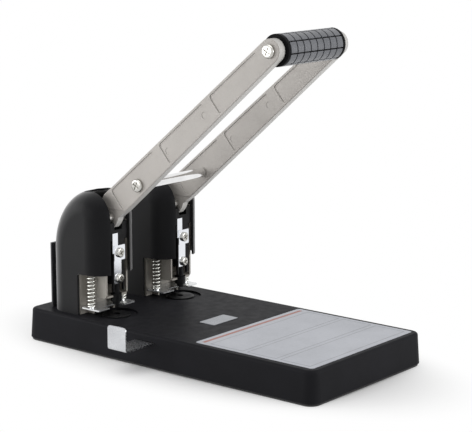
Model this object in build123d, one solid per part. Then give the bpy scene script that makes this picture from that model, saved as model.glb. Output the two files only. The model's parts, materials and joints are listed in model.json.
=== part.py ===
from build123d import *
import os
from math import cos, pi, radians, sin, tan

os.makedirs("parts", exist_ok=True)

# Heavy-duty two-hole lever punch, in millimetres.
# The origin is on the desk under the middle of the base. +X is the user's right, +Y the rear, +Z up.

# ---------------------------------------------------------------- driving sizes
# Base
base_width = 148.0
base_depth = 301.0
base_height = 25.7  # rim to top face
base_draft = 4.0  # degrees
base_corner = 10.0
base_edge = 2.4
base_rim_edge = 0.8
base_wall = 3.0
base_rib = 2.0
base_rib_drop = 6.0
base_rib_pitch = 62.0  # from the front wall to the first rib, and on
base_rib_count = 2
sole_thickness = 1.6
sole_inset = 1.2
sole_edge = 0.5
sole_gap = 0.2
sole_rim = 5.0
sole_rim_wall = 2.0

# Holes that the machine makes
hole_spacing = 80.0
hole_diameter = 6.0
punch_y = 78.0  # the punches stand this far behind the middle of the base
paper_margin = 14.0  # hole centre to the paper stop

# Die discs
die_radius = 12.0
die_thickness = 4.0
die_sink = 0.3  # disc's face under the base's face
die_edge = 0.3
recess_radius = 18.0
recess_depth = 1.5
chip_hole_radius = 9.5
die_seat = 2.5  # ledge that carries the disc

# Sheet frame of each head
frame_sheet = 1.6
channel_half = 11.2  # head's middle to the inner face of a cheek
frame_half = 21.5
throat_height = 14.7  # base's face to the bottom sheet
cheek_reach = 1.0  # cheek's front edge in front of the punch axis
cheek_corner = 3.0
wall_back = 20.0  # punch axis to the front of the rear wall
wall_top = 65.0  # above the base's face
foot_plate_depth = 18.0
bush_radius = 4.6
bush_length = 6.6
bush_rise = 0.8  # bush's top over the bottom sheet
bush_edge = 0.4
cheek_boss = 9.0  # round top of each cheek, about the pivot
pivot_pin_stand = 1.0  # pin's ends outside the cheeks
frame_screw_radius = 2.5
frame_screw_head = 4.6
frame_head_height = 2.5
frame_screw_x = 14.0
frame_screw_length = 14.0
frame_screw_seat = 5.0

# Cover of each head
cover_half = 24.3
cover_wall = 1.8
cover_front = 6.3  # in front of the punch axis
cover_height = 102.9
cover_back = 55.8  # behind the punch axis
cover_round = 18.4
nose_over = (2.6, 4.2)  # front curve's depth and height, over the rounding
cover_shoulder = 51.0  # height of the rear curve
slot_half = 11.3
slot_reach = 26.0  # the slot runs over the top to this far behind the punch axis
slot_corner = 4.0
window_height = 34.8
window_reach = 20.8  # low side opening, back from the punch axis
window_corner = 2.0
support_thickness = 2.6
support_height = 54.8
support_half = 18.3
support_edge = 1.8
support_screw_radius = 2.0
support_screw_head = 3.8
support_head_height = 2.0
support_head_edge = 1.4
support_screw_reach = 3.6  # into the cover's back
support_screw_low = 20.0
support_screw_high = 45.0

# Lever and its drive
lever_travel = 36.0  # degrees, from rest to the end of the stroke
drive_radius = 14.4  # pivot to drive pin
drive_pin_y = 1.5  # behind the punch axis, at rest
drive_pin_height = 81.7  # above the base's face, at rest
drive_gap = 0.3
arm_rise = 40.7  # degrees above level, at rest
arm_thickness = 8.0
arm_bottom = 11.6  # under the line through the pivot
arm_top_root = 12.6
arm_root = 19.0  # where the top edge begins
arm_heel = (6.3, 7.9)  # where the top edge turns down behind its root
arm_end_radius = 9.4
tie_reach = 55.6  # pivot to tie rod, along the arm
tie_drop = 3.1
grip_reach = 232.7
shoulder_rise = 11.0  # above the pivot, where the arm narrows to its root
root_thickness = 6.4
toe_outline = ((-8.2, 0.2), (-6.0, -4.8), (-2.6, -8.6), (3.5, -9.7))  # from the drive pin
pivot_boss = 8.0
arm_edge = 0.7
pocket_count = 3
pocket_length = 58.5
pocket_pitch = 67.4
pocket_start = 28.6
pocket_depth = 0.8
pocket_rim = 1.9
pocket_corner = 2.4
mark_pocket = 1  # the middle pocket carries two shallow round marks of the casting
mark_inset = 4.8
mark_radius = 2.7
mark_depth = 0.3
pivot_radius = 4.0
running_gap = 0.05
spacer_radius = 6.4
side_gap = 0.3
drive_pin_radius = 2.5
drive_bush_radius = 4.0
tie_radius = 4.0
screw_head_radius = 5.5
screw_head_height = 3.0
screw_head_edge = 1.8
screw_shank_radius = 3.0
screw_shank_length = 16.0
grip_radius = 14.6
grip_core_radius = 7.0
grip_ring_width = 3.0
grip_ring_radius = 14.0
grip_columns = 8
grip_rows = 12
groove_width = 0.9
groove_depth = 0.9

# Cross recesses in the screws' heads
cross_depth = 1.1
cross_width = 1.1
cross_share = 0.62  # recess's length as a share of its head's width
cross_turn = 25.0

# Slide that carries each punch
slide_half = 6.65
slide_front = 3.4  # in front of the punch axis
slide_back = 12.0
slide_bottom = 26.2  # above the base's face, at rest
slide_top = 71.2
slide_deep_top = 67.7
wing_inner = 4.6
wing_outer = 10.6
wing_back = 6.5
wing_bottom = 62.7
punch_tip = 6.9  # above the base's face, at rest
punch_length = 41.0
tip_hollow = 1.2
strap_sides = (-6.0, 2.5)  # edges of the wide lower part, from the slide's middle
strap_neck = (-7.4, -1.3)
strap_thickness = 0.6
strap_bottom = 26.4
strap_top = 68.7
plate_size = 12.5
plate_thickness = 0.7
plate_corner = 0.6
plate_height = 52.1
clamp_head_radius = 4.1
clamp_head_height = 2.0
clamp_head_edge = 1.0
lower_screw_height = 30.5
lower_head_radius = 4.0
lower_head_height = 2.4
lower_head_edge = 1.7
slide_screw_radius = 2.0
slide_screw_length = 8.0

# Springs and presser plates
spring_x = 18.4
spring_y = 10.5  # behind the punch axis
spring_radius = 3.1  # to the middle of the wire
spring_wire = 1.2
spring_turns = 12
spring_bend = 2.0  # height and length of the bend from the wire's straight end to its turns
bar_width = 8.0
bar_thickness = 4.0
bar_height = 43.2  # underside of the spring bar above the base's face
bar_half = 21.9
bar_corner = 3.2
bar_gap = 0.2
stub_radius = 2.0
stub_length = 3.0
presser_half = 22.0
presser_thickness = 1.2
presser_height = 5.4  # underside above the base's face, at rest
presser_rest = 0.2  # underside above the base's face, pressed
presser_notch_half = 9.0
presser_notch_depth = 7.0
presser_corner = 1.5
presser_clear = 0.8

# Paper guide
guide_width = 19.0
guide_y = 16.5
guide_sheet = 1.2
guide_pull = 31.0  # outer face of the tab, out from the base's foot
guide_length = 85.0
guide_underside = 20.2
guide_tab_height = 19.8
guide_corner = 3.0
guide_bend = 1.2  # inside radius of the fold
guide_gap = 0.3
keeper_wall = 2.5
keeper_length = 36.0
keeper_inset = 8.0  # keeper's outer end, in from the base's foot

# Cutters reach this far past what they cut, and joined solids this far into each other
over = 1.0

# ---------------------------------------------------------------- derived places
base_top = sole_thickness + base_height
ceiling = base_top - base_wall
head_x = {"left": -hole_spacing / 2, "right": hole_spacing / 2}
punch_radius = hole_diameter / 2
half_travel = lever_travel / 2
stroke = 2 * drive_radius * sin(radians(half_travel))
drive_y = punch_y + drive_pin_y
drive_z = base_top + drive_pin_height
pivot_y = drive_y + drive_radius * cos(radians(half_travel))
pivot_z = drive_z - drive_radius * sin(radians(half_travel))
stop_y = punch_y + paper_margin
wall_y = punch_y + wall_back
spring_line = punch_y + spring_y
cheek_outer = channel_half + frame_sheet
arm_half = arm_thickness / 2
arms_inside = hole_spacing / 2 - arm_half
slide_face = punch_y - slide_front
strap_face = slide_face - strap_thickness
plate_face = strap_face - plate_thickness
keeper_x = keeper_inset - base_width / 2
guide_x = -guide_pull - base_width / 2


# ---------------------------------------------------------------- helpers
def block(x0, x1, y0, y1, z0, z1):
    return Pos((x0 + x1) / 2, (y0 + y1) / 2, (z0 + z1) / 2) * Box(x1 - x0, y1 - y0, z1 - z0)


def rod_x(radius, x0, x1, y, z):
    return Pos((x0 + x1) / 2, y, z) * Rot(0, 90, 0) * Cylinder(radius, x1 - x0)


def rod_y(radius, y0, y1, x, z):
    return Pos(x, (y0 + y1) / 2, z) * Rot(90, 0, 0) * Cylinder(radius, y1 - y0)


def rod_z(radius, z0, z1, x, y):
    return Pos(x, y, (z0 + z1) / 2) * Cylinder(radius, z1 - z0)


def cross_recess(size):
    """A cross-shaped recess whose open end faces +X, to be cut from a screw's head."""
    arm = Box(2 * cross_depth, size, cross_width)
    return Rot(cross_turn, 0, 0) * (arm + Rot(90, 0, 0) * arm)


def side_slab(face, x0, x1):
    """A face drawn in (Y, Z), as thick as from x0 to x1."""
    return extrude(Plane.YZ.offset(x0) * face, amount=x1 - x0)


def arm_slab(face, x0, x1):
    """A face drawn along the arm from its pivot, as thick as from x0 to x1."""
    rise = radians(arm_rise)
    plane = Plane(origin=(x1, pivot_y, pivot_z), x_dir=(0, -cos(rise), sin(rise)), z_dir=(-1, 0, 0))
    return extrude(plane * face, amount=x1 - x0)


def arm_point(along, over):
    """(Y, Z) of a point given along the arm and over the line through its pivot."""
    rise = radians(arm_rise)
    y = pivot_y - along * cos(rise) + over * sin(rise)
    z = pivot_z + along * sin(rise) + over * cos(rise)
    return y, z


def save(name, *solids):
    shape = solids[0] if len(solids) == 1 else Compound(children=list(solids))
    shape.label = name
    export_step(shape, f"parts/{name}.step")


# ---------------------------------------------------------------- base
def tapered_box(width, depth, corner, height, z):
    outline = RectangleRounded(width, depth, corner)
    return extrude(Pos(0, 0, z) * outline, amount=height, taper=base_draft)


def frame_screw_places():
    y = wall_y + frame_sheet + foot_plate_depth / 2
    return [(x + i * frame_screw_x, y) for x in head_x.values() for i in (-1, 1)]


def guide_slot():
    half = guide_width / 2 + guide_gap
    z0 = guide_underside - guide_gap
    z1 = guide_underside + guide_sheet + guide_gap
    return block(-base_width, keeper_x + keeper_length, guide_y - half, guide_y + half, z0, z1)


def make_base():
    shell = tapered_box(base_width, base_depth, base_corner, base_height, sole_thickness)
    top = shell.faces().sort_by(Axis.Z)[-1]
    shell = fillet(top.edges(), base_edge)
    rim = shell.faces().sort_by(Axis.Z)[0]
    shell = chamfer(rim.edges(), base_rim_edge)
    inside = tapered_box(
        base_width - 2 * base_wall,
        base_depth - 2 * base_wall,
        base_corner - base_wall,
        base_height - base_wall,
        sole_thickness,
    )
    shell -= inside
    reach = base_width / 2 - base_wall
    for i in range(base_rib_count):
        y = (i + 1) * base_rib_pitch - base_depth / 2
        shell += block(-reach, reach, y, y + base_rib, ceiling - base_rib_drop, ceiling)
    for x, y in frame_screw_places():
        shell += rod_z(frame_screw_seat, base_top - frame_screw_length - base_wall, ceiling, x, y)
        shell -= rod_z(frame_screw_radius, base_top - frame_screw_length, base_top, x, y)
    die_top = base_top - die_sink
    die_bottom = die_top - die_thickness
    for x in head_x.values():
        shell += rod_z(die_radius + base_wall, die_bottom - die_seat, ceiling, x, punch_y)
        shell -= rod_z(recess_radius, base_top - recess_depth, base_top, x, punch_y)
        shell -= rod_z(die_radius, die_bottom, base_top, x, punch_y)
        shell -= rod_z(chip_hole_radius, die_bottom - die_seat, base_top, x, punch_y)
    return shell - guide_slot()


def make_bottom_cover():
    """A soft tray under the whole base: it is the sole, and it keeps the chips in."""
    inset = 2 * sole_inset
    outline = RectangleRounded(base_width - inset, base_depth - inset, base_corner - sole_inset)
    sole = extrude(outline, amount=sole_thickness)
    sole = chamfer(sole.edges().group_by(Axis.Z)[0], sole_edge)
    inset = 2 * (base_wall + sole_gap)
    corner = base_corner - base_wall - sole_gap
    rim = RectangleRounded(base_width - inset, base_depth - inset, corner)
    upstand = extrude(Pos(0, 0, sole_thickness) * rim, amount=sole_rim, taper=base_draft)
    inner = RectangleRounded(
        base_width - inset - 2 * sole_rim_wall,
        base_depth - inset - 2 * sole_rim_wall,
        corner - sole_rim_wall,
    )
    upstand -= extrude(Pos(0, 0, sole_thickness) * inner, amount=sole_rim, taper=base_draft)
    return sole + upstand


def make_die(x):
    top = base_top - die_sink
    disc = rod_z(die_radius, top - die_thickness, top, x, punch_y)
    disc = chamfer(disc.edges().group_by(Axis.Z)[-1], die_edge)
    return disc - rod_z(punch_radius + running_gap, top - die_thickness, top, x, punch_y)


def make_guide():
    """A strip folded up at its outer end."""
    y0 = guide_y - guide_width / 2
    y1 = guide_y + guide_width / 2
    z0 = guide_underside
    outer = guide_bend + guide_sheet
    guide = block(guide_x + outer, guide_x + guide_length, y0, y1, z0, z0 + guide_sheet)
    tab = block(guide_x, guide_x + guide_sheet, y0, y1, z0 + outer, z0 + guide_tab_height)
    top = tab.edges().filter_by(Axis.X).group_by(Axis.Z)[-1]
    guide += fillet(top, guide_corner)
    fold = rod_y(outer, y0, y1, guide_x + outer, z0 + outer)
    fold -= rod_y(guide_bend, y0, y1, guide_x + outer, z0 + outer)
    return guide + (fold & block(guide_x, guide_x + outer, y0, y1, z0, z0 + outer))


def make_guide_keeper():
    half = guide_width / 2 + guide_gap + keeper_wall
    z0 = guide_underside - guide_gap - keeper_wall
    body = block(keeper_x, keeper_x + keeper_length, guide_y - half, guide_y + half, z0, ceiling)
    return body - guide_slot()


# ---------------------------------------------------------------- heads
def cheek_face():
    """One side cheek: a tall plate that narrows behind the paper stop at its foot."""
    front = punch_y - cheek_reach
    sheet_z = base_top + throat_height
    back = wall_y + frame_sheet
    outline = Polyline(
        (front, sheet_z),
        (front, pivot_z),
        (pivot_y, pivot_z + cheek_boss),
        (back, pivot_z),
        (back, base_top),
        (stop_y, base_top),
        (stop_y, sheet_z),
        close=True,
    )
    face = make_face(outline)
    corner = face.vertices().filter_by_position(Axis.X, front - 0.1, front + 0.1)
    face = fillet(corner.sort_by(Axis.Y)[0], cheek_corner)
    face += Pos(pivot_y, pivot_z) * Circle(cheek_boss)
    low = base_top + bar_height - stroke - bar_gap
    high = base_top + bar_height + bar_thickness + bar_gap
    slot = Pos(spring_line, (low + high) / 2) * Rectangle(bar_width + 2 * bar_gap, high - low)
    return face - slot


def make_frame(x):
    face = cheek_face()
    frame = side_slab(face, x - cheek_outer, x - channel_half)
    frame += side_slab(face, x + channel_half, x + cheek_outer)
    sheet_z = base_top + throat_height
    frame += block(
        x - channel_half, x + channel_half, punch_y - cheek_reach, stop_y, sheet_z, sheet_z + frame_sheet
    )
    frame += block(
        x - frame_half, x + frame_half, wall_y, wall_y + frame_sheet, base_top, base_top + wall_top
    )
    foot_y = wall_y + frame_sheet + foot_plate_depth
    frame += block(x - frame_half, x + frame_half, wall_y, foot_y, base_top, base_top + frame_sheet)
    for i in (-1, 1):
        y = wall_y + frame_sheet + foot_plate_depth / 2
        frame -= rod_z(frame_screw_radius, base_top, base_top + frame_sheet, x + i * frame_screw_x, y)
    frame -= rod_z(bush_radius, sheet_z, sheet_z + frame_sheet, x, punch_y)
    return frame - rod_x(pivot_radius, x - cheek_outer, x + cheek_outer, pivot_y, pivot_z)


def make_punch_guide(x):
    """The bush in the frame's bottom sheet that each punch runs in."""
    top = base_top + throat_height + frame_sheet + bush_rise
    bush = rod_z(bush_radius, top - bush_length, top, x, punch_y)
    bush = chamfer(bush.edges().group_by(Axis.Z)[0], bush_edge)
    return bush - rod_z(punch_radius + running_gap, top - bush_length, top, x, punch_y)


def make_frame_screws():
    screws = []
    foot = base_top + frame_sheet
    for x, y in frame_screw_places():
        head = rod_z(frame_screw_head, foot, foot + frame_head_height, x, y)
        shank = rod_z(frame_screw_radius, base_top - frame_screw_length, foot, x, y)
        screws.append(head + shank)
    return screws


def cover_face(inset):
    """The cover seen from the side, drawn inset by a wall's thickness."""
    front = punch_y - cover_front + inset
    back = punch_y + cover_back - inset
    top = base_top + cover_height - inset
    nose_y = punch_y - cover_front + cover_round + nose_over[0]
    nose_z = base_top + cover_height - cover_round - nose_over[1]
    rear_z = base_top + cover_height - cover_shoulder
    lines = [
        Line((front, base_top), (front, nose_z)),
        EllipticalCenterArc((nose_y, nose_z), nose_y - front, top - nose_z, 90, arc_size=90),
        EllipticalCenterArc((nose_y, rear_z), back - nose_y, top - rear_z, 0, arc_size=90),
        Line((back, rear_z), (back, base_top)),
        Line((back, base_top), (front, base_top)),
    ]
    return make_face(lines)


def cover_body(x, inset, rounding):
    half = cover_half - inset
    body = side_slab(cover_face(inset), x - half, x + half)
    edges = body.edges().filter_by(lambda e: abs(abs(e.center().X - x) - half) < 0.01)
    raised = edges.filter_by(lambda e: e.center().Z > base_top + 0.01)
    return fillet(raised, rounding)


def make_cover(x):
    cover = cover_body(x, 0, cover_round) - cover_body(x, cover_wall, cover_round - cover_wall)
    top = base_top + cover_height
    slot_end = punch_y + slot_reach
    front = punch_y - cover_front
    slot = block(x - slot_half, x + slot_half, front - over, slot_end, base_top - over, top + over)
    slot = fillet(slot.edges().filter_by(Axis.Z).group_by(Axis.Y)[-1], slot_corner)
    cover -= slot
    window_y = punch_y + window_reach
    half = cover_half + over
    window_top = base_top + window_height
    window = block(x - half, x + half, front - over, window_y, base_top - over, window_top)
    corner = window.edges().filter_by(Axis.X).group_by(Axis.Y)[-1]
    window = fillet(corner.sort_by(Axis.Z)[-1], window_corner)
    return bore_support_screws(cover - window, x)


def make_support(x):
    """Dark plate that stands behind the cover."""
    y = punch_y + cover_back
    plate = block(
        x - support_half, x + support_half, y, y + support_thickness, base_top, base_top + support_height
    )
    upright = plate.edges().filter_by(Axis.Z).group_by(Axis.Y)[-1]
    return bore_support_screws(fillet(upright, support_edge), x)


def make_support_screws():
    """Two screws from behind through each support into the cover's back."""
    screws = []
    face = punch_y + cover_back + support_thickness
    for x in head_x.values():
        for height in (support_screw_low, support_screw_high):
            z = base_top + height
            head = rod_y(support_screw_head, face, face + support_head_height, x, z)
            head = fillet(head.edges().group_by(Axis.Y)[-1], support_head_edge)
            recess = Rot(0, 0, 90) * cross_recess(2 * support_screw_head * cross_share)
            head -= Pos(x, face + support_head_height, z) * recess
            tip = punch_y + cover_back - support_screw_reach
            screws.append(head + rod_y(support_screw_radius, tip, face, x, z))
    return screws


def bore_support_screws(solid, x):
    back = punch_y + cover_back
    for height in (support_screw_low, support_screw_high):
        ends = (back - support_screw_reach, back + support_thickness)
        solid -= rod_y(support_screw_radius, *ends, x, base_top + height)
    return solid


def make_pivot_pin(x):
    reach = cheek_outer + pivot_pin_stand
    return rod_x(pivot_radius, x - reach, x + reach, pivot_y, pivot_z)


def make_pivot_spacers(x):
    spacers = []
    for i in (-1, 1):
        ends = sorted((x + i * (arm_half + side_gap), x + i * channel_half))
        tube = rod_x(spacer_radius, *ends, pivot_y, pivot_z)
        spacers.append(tube - rod_x(pivot_radius, *ends, pivot_y, pivot_z))
    return spacers


# ---------------------------------------------------------------- slide, punch and springs
def make_slide(x):
    front = slide_face
    z0 = base_top + slide_bottom
    slide = block(
        x - slide_half, x + slide_half, front, punch_y + slide_back, z0, base_top + slide_deep_top
    )
    slide += block(
        x - slide_half, x + slide_half, front, punch_y + wing_back, z0, base_top + slide_top
    )
    wing_top = drive_z - drive_bush_radius - drive_gap
    for i in (-1, 1):
        ends = sorted((x + i * wing_inner, x + i * wing_outer))
        slide += block(*ends, front, punch_y + wing_back, base_top + wing_bottom, wing_top)
    slide -= bar_body(x)
    slide -= rod_z(punch_radius, z0, base_top + punch_tip + punch_length, x, punch_y)
    return bore_slide_screws(slide, x)


def make_punch(x):
    z0 = base_top + punch_tip
    punch = rod_z(punch_radius, z0, z0 + punch_length, x, punch_y)
    groove = rod_x(2 * punch_radius, x - 2 * punch_radius, x + 2 * punch_radius, punch_y, z0)
    return punch - Pos(0, 0, tip_hollow - 2 * punch_radius) * groove


def make_strap(x):
    """A sheet strap down the slide's front, narrower above the clamp plate."""
    z0 = base_top + strap_bottom
    z1 = base_top + plate_height
    z2 = base_top + strap_top
    strap = block(x + strap_sides[0], x + strap_sides[1], strap_face, slide_face, z0, z1)
    strap += block(x + strap_neck[0], x + strap_neck[1], strap_face, slide_face, z1, z2)
    return bore_slide_screws(strap, x)


def bore_slide_screws(solid, x):
    for height in (plate_height, lower_screw_height):
        ends = (plate_face, plate_face + slide_screw_length)
        solid -= rod_y(slide_screw_radius, *ends, x, base_top + height)
    return solid


def make_clamp_plate(x):
    half = plate_size / 2
    z = base_top + plate_height
    plate = block(x - half, x + half, plate_face, strap_face, z - half, z + half)
    return bore_slide_screws(fillet(plate.edges().filter_by(Axis.Y), plate_corner), x)


def slide_screw(x, height, head, seat, tip):
    """A screw from the front: its head stands on seat, and its shank ends at tip."""
    radius, depth, edge = head
    z = base_top + height
    solid = rod_y(radius, seat - depth, seat, x, z)
    solid = fillet(solid.edges().group_by(Axis.Y)[0], edge)
    recess = Rot(0, 0, -90) * cross_recess(2 * radius * cross_share)
    solid -= Pos(x, seat - depth, z) * recess
    return solid + rod_y(slide_screw_radius, seat, tip, x, z)


def make_slide_screws(x):
    """The upper screw holds the clamp plate; the lower one bears on the punch."""
    upper_head = (clamp_head_radius, clamp_head_height, clamp_head_edge)
    upper = slide_screw(x, plate_height, upper_head, plate_face, plate_face + slide_screw_length)
    lower_head = (lower_head_radius, lower_head_height, lower_head_edge)
    lower = slide_screw(x, lower_screw_height, lower_head, strap_face, punch_y - punch_radius)
    return upper, lower


def bar_body(x):
    z0 = base_top + bar_height
    half = bar_width / 2
    bar = block(x - bar_half, x + bar_half, spring_line - half, spring_line + half, z0, z0 + bar_thickness)
    return fillet(bar.edges().filter_by(Axis.Z), bar_corner)


def make_bar(x):
    bar = bar_body(x)
    z0 = base_top + bar_height
    for i in (-1, 1):
        bar += rod_z(stub_radius, z0 - stub_length, z0, x + i * spring_x, spring_line)
    return bar


def presser_top():
    return base_top + presser_height + presser_thickness


def make_presser(x):
    z0 = base_top + presser_height
    z1 = presser_top()
    front = punch_y - cheek_reach
    back = wall_y - presser_clear
    plate = block(x - presser_half, x + presser_half, front, back, z0, z1)
    plate = fillet(plate.edges().filter_by(Axis.Z), presser_corner)
    notch = presser_notch_half
    plate -= block(x - notch, x + notch, front - over, front + presser_notch_depth, z0, z1)
    clear = presser_clear / 2
    for i in (-1, 1):
        ends = sorted((x + i * (channel_half - clear), x + i * (cheek_outer + clear)))
        plate -= block(*ends, stop_y - clear, back + over, z0, z1)
        plate += rod_z(stub_radius, z1, z1 + stub_length, x + i * spring_x, spring_line)
    return plate


def biarc(start, start_way, end, end_way):
    """Two arcs that leave start along start_way and reach end along end_way."""
    run = end - start
    lean = run.dot(start_way + end_way)
    bend = 2 * (1 - start_way.dot(end_way))
    reach = ((lean * lean + bend * run.dot(run)) ** 0.5 - lean) / bend
    first = start + start_way * reach
    last = end - end_way * reach
    middle = (first + last) * 0.5
    return [
        Edge.make_tangent_arc(start, start_way, middle),
        Edge.make_tangent_arc(middle, last - first, end),
    ]


def spring_heights():
    """The wire's foot and head, and where its turns begin and end."""
    foot = presser_top()
    head = base_top + bar_height - bar_gap
    lead = spring_wire + spring_bend
    return foot, head, foot + lead, head - lead


def spring_point(turn):
    """A point on the turns, counted from their start, and the wire's way there."""
    foot, head, low, high = spring_heights()
    angle = 2 * pi * turn
    climb = (high - low) / spring_turns
    point = Vector(spring_radius * cos(angle), spring_radius * sin(angle), low + climb * turn)
    way = Vector(-spring_radius * sin(angle), spring_radius * cos(angle), climb / (2 * pi))
    return point, way.normalized()


def spring_tip(turn, z):
    """A point of the wire's straight end, beside the turn where it begins."""
    angle = 2 * pi * turn
    return Vector(spring_radius * cos(angle), spring_radius * sin(angle), z)


def spring_path():
    up = Vector(0, 0, 1)
    foot, head, low, high = spring_heights()
    lead = spring_bend / (2 * pi * spring_radius)
    bottom = spring_tip(-lead, foot + spring_wire)
    top = spring_tip(spring_turns + lead, head - spring_wire)
    edges = [Line(spring_tip(-lead, foot), bottom).edge()]
    edges += biarc(bottom, up, *spring_point(0))
    for half in range(2 * spring_turns):
        edges += biarc(*spring_point(half / 2), *spring_point((half + 1) / 2))
    edges += biarc(*spring_point(spring_turns), top, up)
    edges.append(Line(top, spring_tip(spring_turns + lead, head)).edge())
    return edges


def least_gap(edges):
    """Least distance between the wire's faces half a turn or more apart, on points."""
    steps = 6
    points = [edge.position_at(i / steps) for edge in edges for i in range(steps)]
    half_turn = 2 * steps
    gaps = [(p - q).length for i, p in enumerate(points) for q in points[i + half_turn :]]
    return min(gaps) - spring_wire


def make_spring():
    edges = spring_path()
    tightest = min(edge.radius for edge in edges[1:-1])
    print("spring: gap to itself", round(least_gap(edges), 2), "tightest bend", round(tightest, 2))
    section = Plane(origin=edges[0] @ 0, z_dir=(0, 0, 1)) * Circle(spring_wire / 2)
    return sweep(section, path=Wire(edges))


# ---------------------------------------------------------------- lever
def arm_outline():
    """The arm's side view, along the arm from its pivot."""
    middle = arm_end_radius - arm_bottom
    top_end = middle + arm_end_radius
    lines = [
        Line((0, -arm_bottom), (grip_reach, -arm_bottom)),
        ThreePointArc(
            (grip_reach, -arm_bottom), (grip_reach + arm_end_radius, middle), (grip_reach, top_end)
        ),
        Line((grip_reach, top_end), (arm_root, arm_top_root)),
        Line((arm_root, arm_top_root), arm_heel),
        Line(arm_heel, (0, -arm_bottom)),
    ]
    return make_face(lines)


def below_shoulder(rise, x):
    z = pivot_z + rise
    wide = (x - arm_thickness, x + arm_thickness)
    return block(*wide, pivot_y - grip_reach, pivot_y + grip_reach, z - grip_reach, z)


def top_edge(along):
    """Height of the arm's top edge over the line through its pivot."""
    end = 2 * arm_end_radius - arm_bottom
    return end + (arm_top_root - end) * (grip_reach - along) / (grip_reach - arm_root)


def pocket_faces():
    """Shallow panels that leave a rim along the arm's edges."""
    low = pocket_rim - arm_bottom
    faces = []
    for i in range(pocket_count):
        start = pocket_start + i * pocket_pitch
        end = start + pocket_length
        high_start = top_edge(start) - pocket_rim
        high_end = top_edge(end) - pocket_rim
        outline = Polyline((start, low), (end, low), (end, high_end), (start, high_start), close=True)
        faces.append(make_face(outline))
    return faces


def casting_marks(x):
    """Round marks in the floors of the middle pocket, one near each of its ends."""
    start = pocket_start + mark_pocket * pocket_pitch
    half = arm_half - pocket_depth
    marks = []
    for along in (start + mark_inset, start + pocket_length - mark_inset):
        middle = (top_edge(along) - arm_bottom) / 2
        for side in (-1, 1):
            ends = sorted((x + side * half, x + side * (half - mark_depth)))
            marks.append(rod_x(mark_radius, *ends, *arm_point(along, middle)))
    return marks


def root_plate(x):
    """The narrower root under the shoulder: a toe over the drive pin, and the pivot's boss."""
    top = pivot_z + shoulder_rise + over
    low_y, low_z = arm_point(0, -arm_bottom)
    shoulder_y = low_y - (top - low_z) / tan(radians(arm_rise))
    front, curve, tip, heel = [(drive_y + y, drive_z + z) for y, z in toe_outline]
    lines = [
        Line((shoulder_y, top), front),
        ThreePointArc(front, curve, tip),
        Line(tip, heel),
        Line(heel, (pivot_y, pivot_z - pivot_boss)),
        Line((pivot_y, pivot_z - pivot_boss), (pivot_y, top)),
        Line((pivot_y, top), (shoulder_y, top)),
    ]
    face = make_face(lines)
    face += Pos(pivot_y, pivot_z) * Circle(pivot_boss)
    return side_slab(face, x - root_thickness / 2, x + root_thickness / 2)


def make_arm(x):
    arm = arm_slab(arm_outline(), x - arm_half, x + arm_half)
    arm -= below_shoulder(shoulder_rise, x)
    sides = arm.edges().filter_by(lambda e: abs(abs(e.center().X - x) - arm_half) < 0.01)
    arm = chamfer(sides, arm_edge)
    for face in pocket_faces():
        for side in (-1, 1):
            ends = sorted((x + side * arm_half, x + side * (arm_half - pocket_depth)))
            pocket = arm_slab(face, *ends) - below_shoulder(shoulder_rise + pocket_rim, x)
            arm -= fillet(pocket.edges().filter_by(Axis.X), pocket_corner)
    for mark in casting_marks(x):
        arm -= mark
    arm += root_plate(x)
    ends = (x - arm_thickness, x + arm_thickness)
    arm -= rod_x(pivot_radius + running_gap, *ends, pivot_y, pivot_z)
    arm -= rod_x(drive_pin_radius, *ends, drive_y, drive_z)
    for along, over in (tie_place(), grip_place()):
        arm -= rod_x(screw_shank_radius, *ends, *arm_point(along, over))
    return arm


def tie_place():
    return tie_reach, -tie_drop


def grip_place():
    return grip_reach, arm_end_radius - arm_bottom


def make_tie_rod():
    y, z = arm_point(*tie_place())
    rod = rod_x(tie_radius, -arms_inside, arms_inside, y, z)
    return rod - end_holes(y, z)


def end_holes(y, z):
    """The two tapped holes that the screws through the arms go into."""
    depth = screw_shank_length - arm_thickness
    holes = [
        rod_x(screw_shank_radius, *sorted((i * arms_inside, i * (arms_inside - depth))), y, z)
        for i in (-1, 1)
    ]
    return holes[0] + holes[1]


def make_arm_screws(place):
    screws = []
    y, z = arm_point(*place)
    face = arms_inside + arm_thickness - pocket_floor(place)
    for i in (-1, 1):
        head = rod_x(screw_head_radius, *sorted((i * face, i * (face + screw_head_height))), y, z)
        rim = head.edges().filter_by(lambda e: abs(e.center().X) > face + screw_head_height / 2)
        head = fillet(rim, screw_head_edge)
        recess = cross_recess(2 * screw_head_radius * cross_share)
        head -= Pos(i * (face + screw_head_height), y, z) * recess
        reach = arms_inside + arm_thickness - screw_shank_length
        screws.append(head + rod_x(screw_shank_radius, *sorted((i * face, i * reach)), y, z))
    return screws


def pocket_floor(place):
    """How far a screw's seat is sunk: its depth where it lies in a pocket."""
    along = place[0]
    starts = [pocket_start + i * pocket_pitch for i in range(pocket_count)]
    inside = any(start < along < start + pocket_length for start in starts)
    return pocket_depth if inside else 0


def make_drive_pin(x):
    reach = wing_outer
    return rod_x(drive_pin_radius, x - reach, x + reach, drive_y, drive_z)


def make_drive_bushes(x):
    bushes = []
    for i in (-1, 1):
        ends = sorted((x + i * (arm_half + side_gap), x + i * (wing_outer - side_gap)))
        tube = rod_x(drive_bush_radius, *ends, drive_y, drive_z)
        bushes.append(tube - rod_x(drive_pin_radius, *ends, drive_y, drive_z))
    return bushes


def make_grip_core():
    y, z = arm_point(*grip_place())
    core = rod_x(grip_core_radius, -arms_inside, arms_inside, y, z)
    return core - end_holes(y, z)


def make_grip_rings():
    y, z = arm_point(*grip_place())
    rings = []
    for i in (-1, 1):
        ends = sorted((i * arms_inside, i * (arms_inside - grip_ring_width)))
        disc = rod_x(grip_ring_radius, *ends, y, z)
        rings.append(disc - rod_x(grip_core_radius, *ends, y, z))
    return rings


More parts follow.
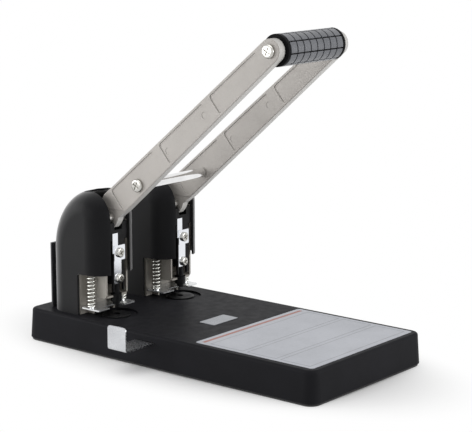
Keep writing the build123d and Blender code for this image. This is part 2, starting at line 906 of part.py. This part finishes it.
def make_grip_sleeve():
    """A sleeve whose face is parted into tiles by rings and lengthwise grooves."""
    y, z = arm_point(*grip_place())
    reach = arms_inside - grip_ring_width
    sleeve = rod_x(grip_radius, -reach, reach, 0, 0)
    pitch = 2 * reach / grip_columns
    for i in range(1, grip_columns):
        mid = -reach + i * pitch
        ends = (mid - groove_width / 2, mid + groove_width / 2)
        band = rod_x(grip_radius + over, *ends, 0, 0)
        sleeve -= band - rod_x(grip_radius - groove_depth, *ends, 0, 0)
    half = groove_width / 2
    floor = grip_radius - groove_depth
    cutter = block(-reach, reach, -half, half, floor, grip_radius + over)
    for i in range(grip_rows):
        sleeve -= Rot(360 * i / grip_rows, 0, 0) * cutter
    sleeve -= rod_x(grip_core_radius, -reach, reach, 0, 0)
    return Pos(0, y, z) * sleeve


# ---------------------------------------------------------------- write the pieces
def write_base():
    save("base_shell", make_base())
    save("bottom_cover", make_bottom_cover())
    save("paper_guide", make_guide())
    save("guide_keeper", make_guide_keeper())
    save("frame_screws", *make_frame_screws())
    save("support_screws", *make_support_screws())


def write_head(side, x):
    save(f"die_disc_{side}", make_die(x))
    save(f"frame_{side}", make_frame(x))
    save(f"punch_guide_{side}", make_punch_guide(x))
    save(f"cover_{side}", make_cover(x))
    save(f"rear_support_{side}", make_support(x))
    save(f"pivot_pin_{side}", make_pivot_pin(x))
    save(f"pivot_spacers_{side}", *make_pivot_spacers(x))
    save(f"slide_block_{side}", make_slide(x))
    save(f"punch_{side}", make_punch(x))
    save(f"slide_strap_{side}", make_strap(x))
    save(f"clamp_plate_{side}", make_clamp_plate(x))
    save(f"slide_screws_{side}", *make_slide_screws(x))
    save(f"spring_bar_{side}", make_bar(x))
    save(f"presser_plate_{side}", make_presser(x))


def write_springs():
    spring = make_spring()
    for side, x in head_x.items():
        pair = [Pos(x + i * spring_x, spring_line, 0) * spring for i in (-1, 1)]
        save(f"springs_{side}", *pair)


def write_lever():
    for side, x in head_x.items():
        save(f"lever_arm_{side}", make_arm(x))
        save(f"drive_pin_{side}", make_drive_pin(x))
        save(f"drive_bushes_{side}", *make_drive_bushes(x))
    save("tie_rod", make_tie_rod())
    save("tie_rod_screws", *make_arm_screws(tie_place()))
    save("grip_core", make_grip_core())
    save("grip_sleeve", make_grip_sleeve())
    save("grip_rings", *make_grip_rings())
    save("grip_screws", *make_arm_screws(grip_place()))


write_base()
for head_side, head_place in head_x.items():
    write_head(head_side, head_place)
write_springs()
write_lever()
print("punch stroke", round(stroke, 3), "mm over", lever_travel, "degrees")
print("presser travel", round(presser_height - presser_rest, 3), "mm")
print("pivot at y", round(pivot_y, 3), "z", round(pivot_z, 3))
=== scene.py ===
import bmesh
import bpy
import json
from math import asin, pi, radians
from mathutils import Matrix, Vector


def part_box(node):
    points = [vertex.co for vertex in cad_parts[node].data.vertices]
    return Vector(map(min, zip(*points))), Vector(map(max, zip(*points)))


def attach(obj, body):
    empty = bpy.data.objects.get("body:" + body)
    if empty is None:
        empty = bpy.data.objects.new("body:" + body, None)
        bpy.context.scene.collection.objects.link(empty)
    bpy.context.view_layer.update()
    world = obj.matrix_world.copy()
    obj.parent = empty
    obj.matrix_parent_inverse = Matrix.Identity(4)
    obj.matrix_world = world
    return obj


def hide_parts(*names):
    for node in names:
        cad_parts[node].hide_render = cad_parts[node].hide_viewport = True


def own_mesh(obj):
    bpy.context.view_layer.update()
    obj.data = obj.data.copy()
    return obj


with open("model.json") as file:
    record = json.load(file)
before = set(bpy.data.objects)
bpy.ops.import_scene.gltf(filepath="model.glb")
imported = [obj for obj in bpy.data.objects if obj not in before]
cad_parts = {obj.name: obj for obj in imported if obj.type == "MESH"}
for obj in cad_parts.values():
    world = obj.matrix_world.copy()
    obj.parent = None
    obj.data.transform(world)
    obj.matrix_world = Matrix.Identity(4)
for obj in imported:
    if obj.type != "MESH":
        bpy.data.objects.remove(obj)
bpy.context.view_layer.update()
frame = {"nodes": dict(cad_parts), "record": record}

# Heavy-duty two-hole lever punch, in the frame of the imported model.
# Sizes are in metres, save where a comment says millimetres.

# ---------------------------------------------------------------- sizes
millimetre = 0.001
corner_steps = 4  # faces round a plate's corner
edge_steps = 2  # faces across a softened edge
sharp_turn = 1  # radians between two faces, above which their edge is softened

# Springs: open turns with a closed coil at each end
spring_wire = 1.5 * millimetre
spring_radius = 2.95 * millimetre
spring_turns = 10
spring_dead_turns = 1.25
spring_dead_pitch = 1.04  # in thicknesses of the wire
spring_sides = 12
spring_steps = 32

# Grip: a sleeve of raised tiles between two end rings
grip_radius = 12.4 * millimetre
grip_end = 33.0 * millimetre
grip_columns = 8
grip_rows = 8
grip_groove = 1.1 * millimetre
grip_tile_height = 1.0 * millimetre
grip_tile_edge = 0.22 * millimetre
grip_tile_steps = 6
grip_turn = 34.7  # degrees from the front to a lengthwise groove
ring_edge = 0.5 * millimetre
ring_steps = 72

# Legs under each slide's front, clear of the punch's guide between them.
# Sides, depth and corner in millimetres
leg_sides = ((-6.65, -4.9), (4.9, 6.65))
leg_depth = (74.6, 76.6)
leg_corner = 0.3
leg_foot = 47.1 * millimetre

# Label and badge: edges (left, right, front, back), corners, margin and lines in millimetres
label_edges = (-66.0, 67.0, -143.5, -30.0)
label_corner = 2.5
label_margin = 4
label_band_depth = 3
label_panels = ((5, 33), (37, 65), (69, 101))  # from the label's front edge
label_line = 0.8
label_thickness = 0.12 * millimetre
print_thickness = label_thickness / 3
badge_edges = (-18.7, 11.7, -9.9, 6.0)
badge_corner = 0.8
badge_thickness = 0.35 * millimetre

# Camera, fitted to the photograph. Lens and sensor in millimetres
camera_place = Vector((-0.9985, -0.8345, 0.3759))
camera_right = Vector((0.6334, -0.7738, 0.0))
camera_up = Vector((0.1532, 0.1254, 0.9802))
camera_lens = 125.5
camera_sensor = 36.0
camera_nearest = 0.05

# Light and floor
world_light = 0.3
floor_radius = 6.0
floor_sides = 96
floor_drop = 0.0002
floor_stretch = (2, 1, 1)
floor_fade = (0.14, 0.25)  # where it starts to turn white and where it has turned white

# Finishes
noise_middle = (0.3, 0.7)  # most of a noise lies between these
rim_highlight_turn = (0.2, 0.75)  # X part of a face's direction, from the painted rim highlight to plain side


# ---------------------------------------------------------------- node helpers
class Finish:
    """A material under construction: a Principled shader and what feeds it."""

    def __init__(self, name):
        self.material = bpy.data.materials.new(name)
        self.material.use_nodes = True
        self.tree = self.material.node_tree
        self.shader = self.tree.nodes["Principled BSDF"]
        self.coordinates = self.tree.nodes.new("ShaderNodeTexCoord").outputs["Object"]

    def node(self, kind, **settings):
        node = self.tree.nodes.new(kind)
        for key, value in settings.items():
            setattr(node, key, value)
        return node

    def link(self, source, target):
        self.tree.links.new(source, target)

    def set(self, **values):
        for key, value in values.items():
            self.shader.inputs[key.replace("_", " ")].default_value = value

    def stretched(self, stretch):
        mapping = self.node("ShaderNodeMapping")
        mapping.inputs["Scale"].default_value = stretch
        self.link(self.coordinates, mapping.inputs["Vector"])
        return mapping.outputs["Vector"]

    def noise(self, scale, detail, stretch=None):
        noise = self.node("ShaderNodeTexNoise")
        noise.inputs["Scale"].default_value = scale
        noise.inputs["Detail"].default_value = detail
        place = self.stretched(stretch) if stretch else self.coordinates
        self.link(place, noise.inputs["Vector"])
        return noise.outputs["Fac"]

    def ramp(self, value, stops):
        ramp = self.node("ShaderNodeValToRGB")
        elements = ramp.color_ramp.elements
        for element, (place, colour) in zip(elements, stops):
            element.position = place
            element.color = (*colour, 1)
        self.link(value, ramp.inputs["Fac"])
        return ramp.outputs["Color"]

    def faded(self, value, start, end):
        """0 up to the start, 1 from the end on, with a smooth turn between them."""
        faded = self.node("ShaderNodeMapRange", interpolation_type="SMOOTHSTEP")
        faded.inputs["From Min"].default_value = start
        faded.inputs["From Max"].default_value = end
        self.link(value, faded.inputs["Value"])
        return faded.outputs["Result"]

    def colour(self, value, *stops):
        self.link(self.ramp(value, stops), self.shader.inputs["Base Color"])

    def painted_highlight_rims(self, colour):
        """Paints a highlight: turns the colour paler on faces that look away from the X axis."""
        place = self.node("ShaderNodeTexCoord")
        parts = self.node("ShaderNodeSeparateXYZ")
        self.link(place.outputs["Normal"], parts.inputs["Vector"])
        side = self.node("ShaderNodeMath", operation="ABSOLUTE")
        self.link(parts.outputs["X"], side.inputs[0])
        mix = self.node("ShaderNodeMix", data_type="RGBA")
        mix.inputs["A"].default_value = (*colour, 1)
        base = self.shader.inputs["Base Color"]
        self.link(base.links[0].from_socket, mix.inputs["B"])
        # the painted highlight fades in as a face turns away from the X axis
        self.link(self.faded(side.outputs["Value"], *rim_highlight_turn), mix.inputs["Factor"])
        self.link(mix.outputs["Result"], base)

    def roughness(self, value, smooth, rough):
        """Lays a noise out from the smooth value to the rough one."""
        spread = self.node("ShaderNodeMapRange")
        spread.inputs["From Min"].default_value = noise_middle[0]
        spread.inputs["From Max"].default_value = noise_middle[1]
        spread.inputs["To Min"].default_value = smooth
        spread.inputs["To Max"].default_value = rough
        self.link(value, spread.inputs["Value"])
        self.link(spread.outputs["Result"], self.shader.inputs["Roughness"])

    def bump(self, value, depth, strength=1.0):
        bump = self.node("ShaderNodeBump")
        bump.inputs["Distance"].default_value = depth
        bump.inputs["Strength"].default_value = strength
        self.link(value, bump.inputs["Height"])
        normal = self.shader.inputs["Normal"]
        if normal.is_linked:
            self.link(normal.links[0].from_socket, bump.inputs["Normal"])
        self.link(bump.outputs["Normal"], normal)


# ---------------------------------------------------------------- finishes
def moulded_plastic(name, dark, light, smooth, rough, grain, shine, bloom=0.0):
    """Moulded plastic with a fine grain and faint handling marks.

    Grain is the depth of its texture, and bloom is how pale it turns at a slant.
    """
    finish = Finish(name)
    finish.set(Specular_IOR_Level=shine, Sheen_Weight=bloom, Sheen_Roughness=0.4)
    finish.colour(finish.noise(26, 3), (0.3, dark), (0.75, light))
    finish.roughness(finish.noise(140, 5), smooth, rough)
    finish.bump(finish.noise(2600, 2), grain)
    finish.bump(finish.noise(90, 2), grain * 0.6, 0.4)
    return finish.material


def enamel(name, dark, light, painted_rim_highlight=None):
    """Warm grey paint with a slight peel. A casting's rims may get a painted highlight, paler on
    faces that look away from the X axis.
    """
    finish = Finish(name)
    finish.colour(finish.noise(38, 4), (0.3, dark), (0.7, light))
    if painted_rim_highlight:
        # painted highlight: the rims turn paler where faces look away from the X axis
        finish.painted_highlight_rims(painted_rim_highlight)
    finish.roughness(finish.noise(420, 4), 0.36, 0.5)
    finish.bump(finish.noise(900, 3), 0.00004)
    finish.bump(finish.noise(60, 2), 0.0002, 0.25)
    return finish.material


def plated(name, tint, smooth, rough, stretch=(1, 1, 1)):
    """Bright plate, whose drawing marks run along the axis with the least stretch."""
    finish = Finish(name)
    marks = finish.noise(700, 5, stretch)
    finish.colour(finish.noise(55, 3), (0.3, tuple(0.86 * c for c in tint)), (0.7, tint))
    finish.roughness(marks, smooth, rough)
    finish.set(Metallic=1.0)
    finish.bump(marks, 0.000012)
    return finish.material


def blackened_steel(name):
    """Steel with a thin black finish, a little worn."""
    finish = Finish(name)
    wear = finish.noise(160, 6)
    finish.colour(wear, (0.45, (0.0035, 0.0035, 0.004)), (0.85, (0.014, 0.014, 0.015)))
    finish.roughness(finish.noise(500, 4), 0.3, 0.5)
    finish.set(Specular_IOR_Level=0.12)
    finish.bump(finish.noise(1500, 2), 0.00002)
    return finish.material


def galvanised(name, tint, smooth, rough):
    """Zinc plate, duller than chrome."""
    finish = Finish(name)
    finish.colour(finish.noise(60, 3), (0.3, tuple(0.88 * c for c in tint)), (0.7, tint))
    finish.roughness(finish.noise(200, 3), smooth, rough)
    finish.set(Metallic=0.8)
    finish.bump(finish.noise(500, 2), 0.000004)
    return finish.material


def soft_rubber(name, dark, light, smooth, rough):
    """Rubber with a bloom on it and a fine moulded grain."""
    finish = Finish(name)
    finish.colour(finish.noise(45, 4), (0.3, dark), (0.75, light))
    finish.roughness(finish.noise(300, 4), smooth, rough)
    finish.set(Sheen_Weight=0.1, Sheen_Roughness=0.4)
    finish.bump(finish.noise(1900, 3), 0.00004)
    return finish.material


def printed_sheet(name, dark, light):
    """Printed film, which lies a little unevenly."""
    finish = Finish(name)
    finish.colour(finish.noise(30, 3), (0.3, dark), (0.7, light))
    finish.roughness(finish.noise(600, 3), 0.3, 0.45)
    finish.bump(finish.noise(80, 2), 0.00005, 0.3)
    return finish.material


near_black = (0.005, 0.005, 0.006)
round_the_axis = (0.05, 1, 1)  # marks of pieces that are drawn or turned along X
finishes = {
    "base_black": moulded_plastic(
        "satin_black_base", (0.011, 0.011, 0.0125), (0.014, 0.014, 0.0165),
        0.42, 0.52, grain=0.00002, shine=0.04,
    ),
    "cover_black": moulded_plastic(
        "half_gloss_cover", near_black, (0.007, 0.007, 0.008),
        0.3, 0.4, grain=0.000008, shine=0.035, bloom=1.0,
    ),
    "support_black": moulded_plastic(
        "dark_grey_sheet", (0.036, 0.037, 0.04), (0.05, 0.051, 0.054),
        0.4, 0.55, grain=0.00002, shine=0.2,
    ),
    "keeper_plastic": moulded_plastic(
        "keeper_plastic", near_black, (0.02, 0.02, 0.02), 0.5, 0.6, grain=0.00003, shine=0.2
    ),
    # the arm's rims get a painted highlight in a paler colour
    "arm_paint": enamel(
        "warm_grey_casting", (0.38, 0.357, 0.333), (0.43, 0.405, 0.378), painted_rim_highlight=(0.5, 0.49, 0.47)
    ),
    "frame_paint": enamel("warm_grey_sheet", (0.31, 0.29, 0.26), (0.36, 0.34, 0.305)),
    "guide_chrome": plated("bright_guide", (0.62, 0.63, 0.65), 0.2, 0.32, (1, 8, 1)),
    "strap_chrome": plated("bright_strap", (0.86, 0.88, 0.92), 0.1, 0.22, (8, 1, 1)),
    "screw_chrome": plated("bright_screws", (0.55, 0.54, 0.51), 0.12, 0.24),
    "rod_chrome": plated("bright_rod", (0.9, 0.9, 0.9), 0.06, 0.14, (0.1, 1, 1)),
    "spring_steel": plated("spring_wire", (0.72, 0.72, 0.68), 0.22, 0.34),
    "pin_steel": plated("turned_pins", (0.6, 0.59, 0.57), 0.22, 0.36, round_the_axis),
    "punch_steel": blackened_steel("blackened_punches"),
    "core_steel": plated("grip_core", (0.6, 0.6, 0.6), 0.25, 0.4, round_the_axis),
    "slide_black": blackened_steel("black_slides"),
    "bar_black": blackened_steel("black_bars"),
    "die_steel": blackened_steel("black_dies"),
    "grip_rubber": soft_rubber(
        "grip_rubber", (0.1, 0.105, 0.117), (0.125, 0.13, 0.143), 0.24, 0.34
    ),
    "sole_rubber": soft_rubber("sole_rubber", (0.01, 0.01, 0.01), (0.02, 0.02, 0.02), 0.6, 0.8),
}
grip_under_rubber = moulded_plastic(
    "grip_under_rubber", near_black, (0.007, 0.007, 0.007), 0.4, 0.5, grain=0.00002, shine=0.04
)
presser_zinc = galvanised("zinc_plate", (0.8, 0.81, 0.82), 0.14, 0.24)
label_paper = printed_sheet("label_sheet", (0.4, 0.415, 0.455), (0.46, 0.475, 0.52))
label_band = printed_sheet("label_band", (0.3, 0.1, 0.075), (0.36, 0.13, 0.1))
label_rule = printed_sheet("label_rules", (0.2, 0.21, 0.235), (0.26, 0.27, 0.295))
badge_metal = plated("badge_plate", (0.31, 0.325, 0.35), 0.25, 0.4, (1, 12, 1))


def dress_frame():
    """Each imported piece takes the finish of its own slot, save the two presser plates."""
    slots = {part["node"]: part["material_slot"] for part in frame["record"]["subparts"]}
    own = {"presser_plate_left": presser_zinc, "presser_plate_right": presser_zinc}
    for name, node in frame["nodes"].items():
        node.data.materials.clear()
        node.data.materials.append(own.get(name, finishes[slots[name]]))


# ---------------------------------------------------------------- piece helpers
def in_scene(name, data):
    """An object for a mesh, a lamp or a camera, put in the scene."""
    thing = bpy.data.objects.new(name, data)
    bpy.context.scene.collection.objects.link(thing)
    return thing


def mesh_data(name, mesh):
    """Blender's own mesh from a bmesh, which is freed."""
    data = bpy.data.meshes.new(name)
    mesh.to_mesh(data)
    mesh.free()
    return data


def finished(name, mesh, material, body):
    """Turns a bmesh into a piece that rides on a body."""
    piece = in_scene(name, mesh_data(name, mesh))
    piece.data.materials.append(material)
    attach(piece, body)
    return piece


def joined(mesh, other):
    """The first bmesh with another added, which is freed."""
    layer = mesh_data("layer", other)
    mesh.from_mesh(layer)
    bpy.data.meshes.remove(layer)
    return mesh


def copies(mesh, matrices):
    """One bmesh of many copies of another, each at its own place."""
    pattern = mesh_data("pattern", mesh)
    many = bmesh.new()
    for matrix in matrices:
        placed = pattern.copy()
        placed.transform(matrix)
        many.from_mesh(placed)
        bpy.data.meshes.remove(placed)
    bpy.data.meshes.remove(pattern)
    return many


def rounded_plate(edges, z, thickness, corner):
    """A thin plate with round corners. Edges and corner are in millimetres."""
    x0, x1, y0, y1 = (value * millimetre for value in edges)
    mesh = bmesh.new()
    bmesh.ops.create_grid(mesh, x_segments=1, y_segments=1, size=0.5)
    bmesh.ops.scale(mesh, vec=(x1 - x0, y1 - y0, 1), verts=mesh.verts)
    bmesh.ops.translate(mesh, vec=((x0 + x1) / 2, (y0 + y1) / 2, z), verts=mesh.verts)
    if corner:
        bmesh.ops.bevel(
            mesh, geom=mesh.verts[:], offset=corner * millimetre, segments=corner_steps,
            affect="VERTICES", profile=0.5, material=-1,
        )
    raised = bmesh.ops.extrude_face_region(mesh, geom=mesh.faces[:])
    tops = [item for item in raised["geom"] if isinstance(item, bmesh.types.BMVert)]
    bmesh.ops.translate(mesh, vec=(0, 0, thickness), verts=tops)
    bmesh.ops.recalc_face_normals(mesh, faces=mesh.faces)
    return mesh


# ---------------------------------------------------------------- springs
def spring_mesh(x, y, foot, head):
    """A right-hand coil of round wire from foot to head, with a closed coil at each end."""
    mesh = bmesh.new()
    low = foot + spring_wire / 2
    closed = spring_dead_pitch * spring_wire * spring_dead_turns
    open_rise = head - foot - spring_wire - 2 * closed
    start = Matrix.Translation((x + spring_radius, y, low)) @ Matrix.Rotation(pi / 2, 4, "X")
    ring = bmesh.ops.create_circle(mesh, segments=spring_sides, radius=spring_wire / 2)["verts"]
    bmesh.ops.transform(mesh, matrix=start, verts=ring)
    first, last = mesh.edges[:], mesh.edges[:]
    end_coil = (spring_dead_turns, closed)
    for turns, rise in (end_coil, (spring_turns, open_rise), end_coil):
        steps = round(turns * spring_steps)
        spun = bmesh.ops.spin(
            mesh, geom=last, cent=(x, y, 0), axis=(0, 0, 1), dvec=(0, 0, rise / steps),
            angle=2 * pi * turns, steps=steps, use_merge=False, use_duplicate=False,
        )
        last = [item for item in spun["geom_last"] if isinstance(item, bmesh.types.BMEdge)]
    bmesh.ops.contextual_create(mesh, geom=first)
    bmesh.ops.contextual_create(mesh, geom=last)
    bmesh.ops.recalc_face_normals(mesh, faces=mesh.faces)
    return mesh


def make_springs():
    """Two springs in each head, riding on the presser; on the real punch they shorten as the slide
    comes down.
    """
    for side in ("left", "right"):
        low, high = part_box(f"springs_{side}")
        y = (low.y + high.y) / 2
        reach = spring_radius + spring_wire / 2
        both = bmesh.new()
        for x in (low.x + reach, high.x - reach):
            both = joined(both, spring_mesh(x, y, low.z, high.z))
        for face in both.faces:
            face.smooth = True
        wire = finishes["spring_steel"]
        piece = finished(f"coil_springs_{side}", both, wire, f"presser_{side}")
        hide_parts(f"springs_{side}")
        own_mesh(piece)


# ---------------------------------------------------------------- grip
def spun_block(x0, x1, inner, outer, angle, steps, edge):
    """A block between two radii about the X axis, turned through an angle.

    A full turn makes a ring. Its sharp edges are softened.
    """
    mesh = bmesh.new()
    outline = ((x0, inner), (x1, inner), (x1, outer), (x0, outer))
    face = mesh.faces.new([mesh.verts.new((x, 0, radius)) for x, radius in outline])
    full = angle == 360
    geom = mesh.edges[:] if full else [face]
    if full:
        bmesh.ops.delete(mesh, geom=[face], context="FACES_ONLY")
    bmesh.ops.spin(
        mesh, geom=geom, cent=(0, 0, 0), axis=(1, 0, 0), angle=radians(angle), steps=steps,
        use_merge=full, use_duplicate=False,
    )
    bmesh.ops.recalc_face_normals(mesh, faces=mesh.faces)
    between_faces = [item for item in mesh.edges if len(item.link_faces) == 2]
    sharp = [item for item in between_faces if item.calc_face_angle() > sharp_turn]
    bmesh.ops.bevel(
        mesh, geom=sharp, offset=edge, segments=edge_steps, affect="EDGES", profile=0.5, material=-1
    )
    return mesh


def grip_axis():
    """Puts a block that was made about the X axis onto the grip's own axis."""
    low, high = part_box("grip_core")
    return Matrix.Translation((0, (low.y + high.y) / 2, (low.z + high.z) / 2))


def grip_tiles():
    """The raised tiles, in columns along the grip and rows round it."""
    axis = grip_axis()
    pitch = 2 * grip_end / grip_columns
    inner = grip_radius - grip_tile_height - grip_tile_edge
    groove_turn = 2 * asin(grip_groove / (2 * grip_radius)) * 180 / pi
    tile_turn = 360 / grip_rows - groove_turn
    half = (pitch - grip_groove) / 2
    tile = spun_block(-half, half, inner, grip_radius, tile_turn, grip_tile_steps, grip_tile_edge)
    places = []
    for column in range(grip_columns):
        along = Matrix.Translation(((column + 0.5) * pitch - grip_end, 0, 0))
        for row in range(grip_rows):
            turn = 90 - grip_turn + groove_turn / 2 + row * 360 / grip_rows
            places.append(axis @ along @ Matrix.Rotation(radians(turn), 4, "X"))
    return copies(tile, places)


def make_grip():
    """The tiles in one piece, and the sleeve under them with its end rings in another."""
    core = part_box("grip_core")
    bore = (core[1].z - core[0].z) / 2
    reach = core[1].x
    axis = grip_axis()
    groove_floor = grip_radius - grip_tile_height
    piece = finished("grip_tiles", grip_tiles(), finishes["grip_rubber"], "lever")
    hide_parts("grip_sleeve")
    under = spun_block(-grip_end, grip_end, bore, groove_floor, 360, ring_steps, grip_tile_edge)
    ring = spun_block(grip_end, reach, bore, grip_radius, 360, ring_steps, ring_edge)
    mirror = Matrix.Rotation(pi, 4, "Z")
    body = joined(copies(under, [axis]), copies(ring, [axis, axis @ mirror]))
    piece = finished("grip_under_sleeve", body, grip_under_rubber, "lever")
    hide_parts("grip_rings")


# ---------------------------------------------------------------- slide legs
def make_skirts():
    """Two legs under each slide's front, one on each side of the punch's guide."""
    for side in ("left", "right"):
        low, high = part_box(f"slide_block_{side}")
        middle = (low.x + high.x) / 2 / millimetre
        legs = bmesh.new()
        for x0, x1 in leg_sides:
            edges = (middle + x0, middle + x1, *leg_depth)
            legs = joined(legs, rounded_plate(edges, leg_foot, low.z - leg_foot, leg_corner))
        black = finishes["slide_black"]
        finished(f"slide_skirt_{side}", legs, black, f"punch_{side}")


# ---------------------------------------------------------------- label and badge
def ruled_panel(edges, z, thickness, line):
    """An empty panel: a thin line round a rectangle."""
    panel = rounded_plate(edges, z, thickness, 0)
    across = [face for face in panel.faces if abs(face.normal.z) > 0.5]
    bmesh.ops.inset_individual(panel, faces=across, thickness=line * millimetre)
    top = max(across, key=lambda face: face.calc_center_median().z)
    foot = min(across, key=lambda face: face.calc_center_median().z)
    rims = top.edges[:] + foot.edges[:]
    bmesh.ops.delete(panel, geom=[top, foot], context="FACES_ONLY")
    bmesh.ops.bridge_loops(panel, edges=rims)
    bmesh.ops.recalc_face_normals(panel, faces=panel.faces)
    return panel


def make_label():
    """A bare sheet with a coloured band and empty ruled panels."""
    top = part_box("base_shell")[1].z
    sheet = rounded_plate(label_edges, top, label_thickness, label_corner)
    finished("label_sheet", sheet, label_paper, "base")
    left, right, front, back = label_edges
    left, right, back = left + label_margin, right - label_margin, back - label_margin
    face = top + label_thickness
    band = rounded_plate((left, right, back - label_band_depth, back), face, print_thickness, 0)
    finished("label_band", band, label_band, "base")
    panels = bmesh.new()
    for low, high in label_panels:
        edges = (left, right, front + low, front + high)
        panels = joined(panels, ruled_panel(edges, face, print_thickness, label_line))
    finished("label_panels", panels, label_rule, "base")


def make_badge():
    """A bare plate near the heads."""
    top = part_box("base_shell")[1].z
    plate = rounded_plate(badge_edges, top, badge_thickness, badge_corner)
    finished("badge_plate", plate, badge_metal, "base")


# ---------------------------------------------------------------- studio
def area_lamp(name, place, target, size, power):
    """A white rectangle of light that looks at its target."""
    lamp = bpy.data.lights.new(name, "AREA")
    lamp.shape = "RECTANGLE"
    lamp.size, lamp.size_y = size
    lamp.energy = power
    aim = (Vector(target) - Vector(place)).to_track_quat("-Z", "Y")
    holder = in_scene(name, lamp)
    holder.matrix_world = Matrix.Translation(place) @ aim.to_matrix().to_4x4()


def make_lamps():
    area_lamp("wide_top", (-0.1, -0.1, 1.5), target=(0, 0, 0.05), size=(1.6, 1.6), power=10)
    area_lamp("left_panel", (-1.45, 0.2, 0.45), target=(0, 0, 0.1), size=(0.9, 0.8), power=4)
    area_lamp(
        "rear_left_panel", (-0.6, 0.72, 0.28), target=(0, 0.05, 0.08), size=(0.7, 0.5), power=4
    )
    area_lamp("front_panel", (0.6, -1.4, 0.35), target=(0, 0, 0.1), size=(0.8, 0.6), power=11)


def seen_rays(tree):
    """1 for the rays that show a thing as white: from the camera, a shiny face or glass."""
    rays = tree.nodes.new("ShaderNodeLightPath")
    total = rays.outputs["Is Camera Ray"]
    for kind in ("Is Glossy Ray", "Is Transmission Ray"):
        most = tree.nodes.new("ShaderNodeMath")
        most.operation = "MAXIMUM"
        tree.links.new(total, most.inputs[0])
        tree.links.new(rays.outputs[kind], most.inputs[1])
        total = most.outputs["Value"]
    return total


def make_world():
    """Even light all round; the camera, glass and metal see it white."""
    world = bpy.data.worlds.new("studio")
    bpy.context.scene.world = world
    world.use_nodes = True
    tree = world.node_tree
    background = tree.nodes["Background"]
    background.inputs["Color"].default_value = (1, 1, 1, 1)
    seen = tree.nodes.new("ShaderNodeMapRange")
    seen.inputs["To Min"].default_value = world_light
    seen.inputs["To Max"].default_value = 1.0
    tree.links.new(seen_rays(tree), seen.inputs["Value"])
    tree.links.new(seen.outputs["Result"], background.inputs["Strength"])


def make_floor():
    """A round pale floor that turns to plain white away from the object."""
    mesh = bmesh.new()
    bmesh.ops.create_circle(mesh, cap_ends=True, segments=floor_sides, radius=floor_radius)
    bmesh.ops.translate(mesh, vec=(0, 0, -floor_drop), verts=mesh.verts)
    floor = in_scene("floor", mesh_data("floor", mesh))
    finish = Finish("pale_floor")
    finish.set(Base_Color=(0.93, 0.93, 0.93, 1), Roughness=0.8, Specular_IOR_Level=0.1)
    distance = finish.node("ShaderNodeVectorMath", operation="LENGTH")
    finish.link(finish.stretched(floor_stretch), distance.inputs[0])
    seen = finish.node("ShaderNodeMath", operation="MULTIPLY")
    finish.link(finish.faded(distance.outputs["Value"], *floor_fade), seen.inputs[0])
    finish.link(seen_rays(finish.tree), seen.inputs[1])
    white = finish.node("ShaderNodeEmission")
    mix = finish.node("ShaderNodeMixShader")
    finish.link(seen.outputs["Value"], mix.inputs["Fac"])
    finish.link(finish.shader.outputs["BSDF"], mix.inputs[1])
    finish.link(white.outputs["Emission"], mix.inputs[2])
    output = finish.tree.nodes["Material Output"]
    finish.link(mix.outputs["Shader"], output.inputs["Surface"])
    floor.data.materials.append(finish.material)


def make_camera():
    camera = bpy.data.cameras.new("photograph_view")
    camera.sensor_fit = "HORIZONTAL"
    camera.sensor_width = camera_sensor
    camera.lens = camera_lens
    camera.clip_start = camera_nearest
    back = camera_right.cross(camera_up)
    turn = Matrix((camera_right, camera_up, back)).transposed().to_4x4()
    holder = in_scene("photograph_view", camera)
    holder.matrix_world = Matrix.Translation(camera_place) @ turn
    bpy.context.scene.camera = holder


# ---------------------------------------------------------------- make the scene
make_camera()
make_world()
make_lamps()
make_floor()
bpy.context.scene.view_settings.view_transform = "Standard"
dress_frame()
make_springs()
make_grip()
make_skirts()
make_label()
make_badge()
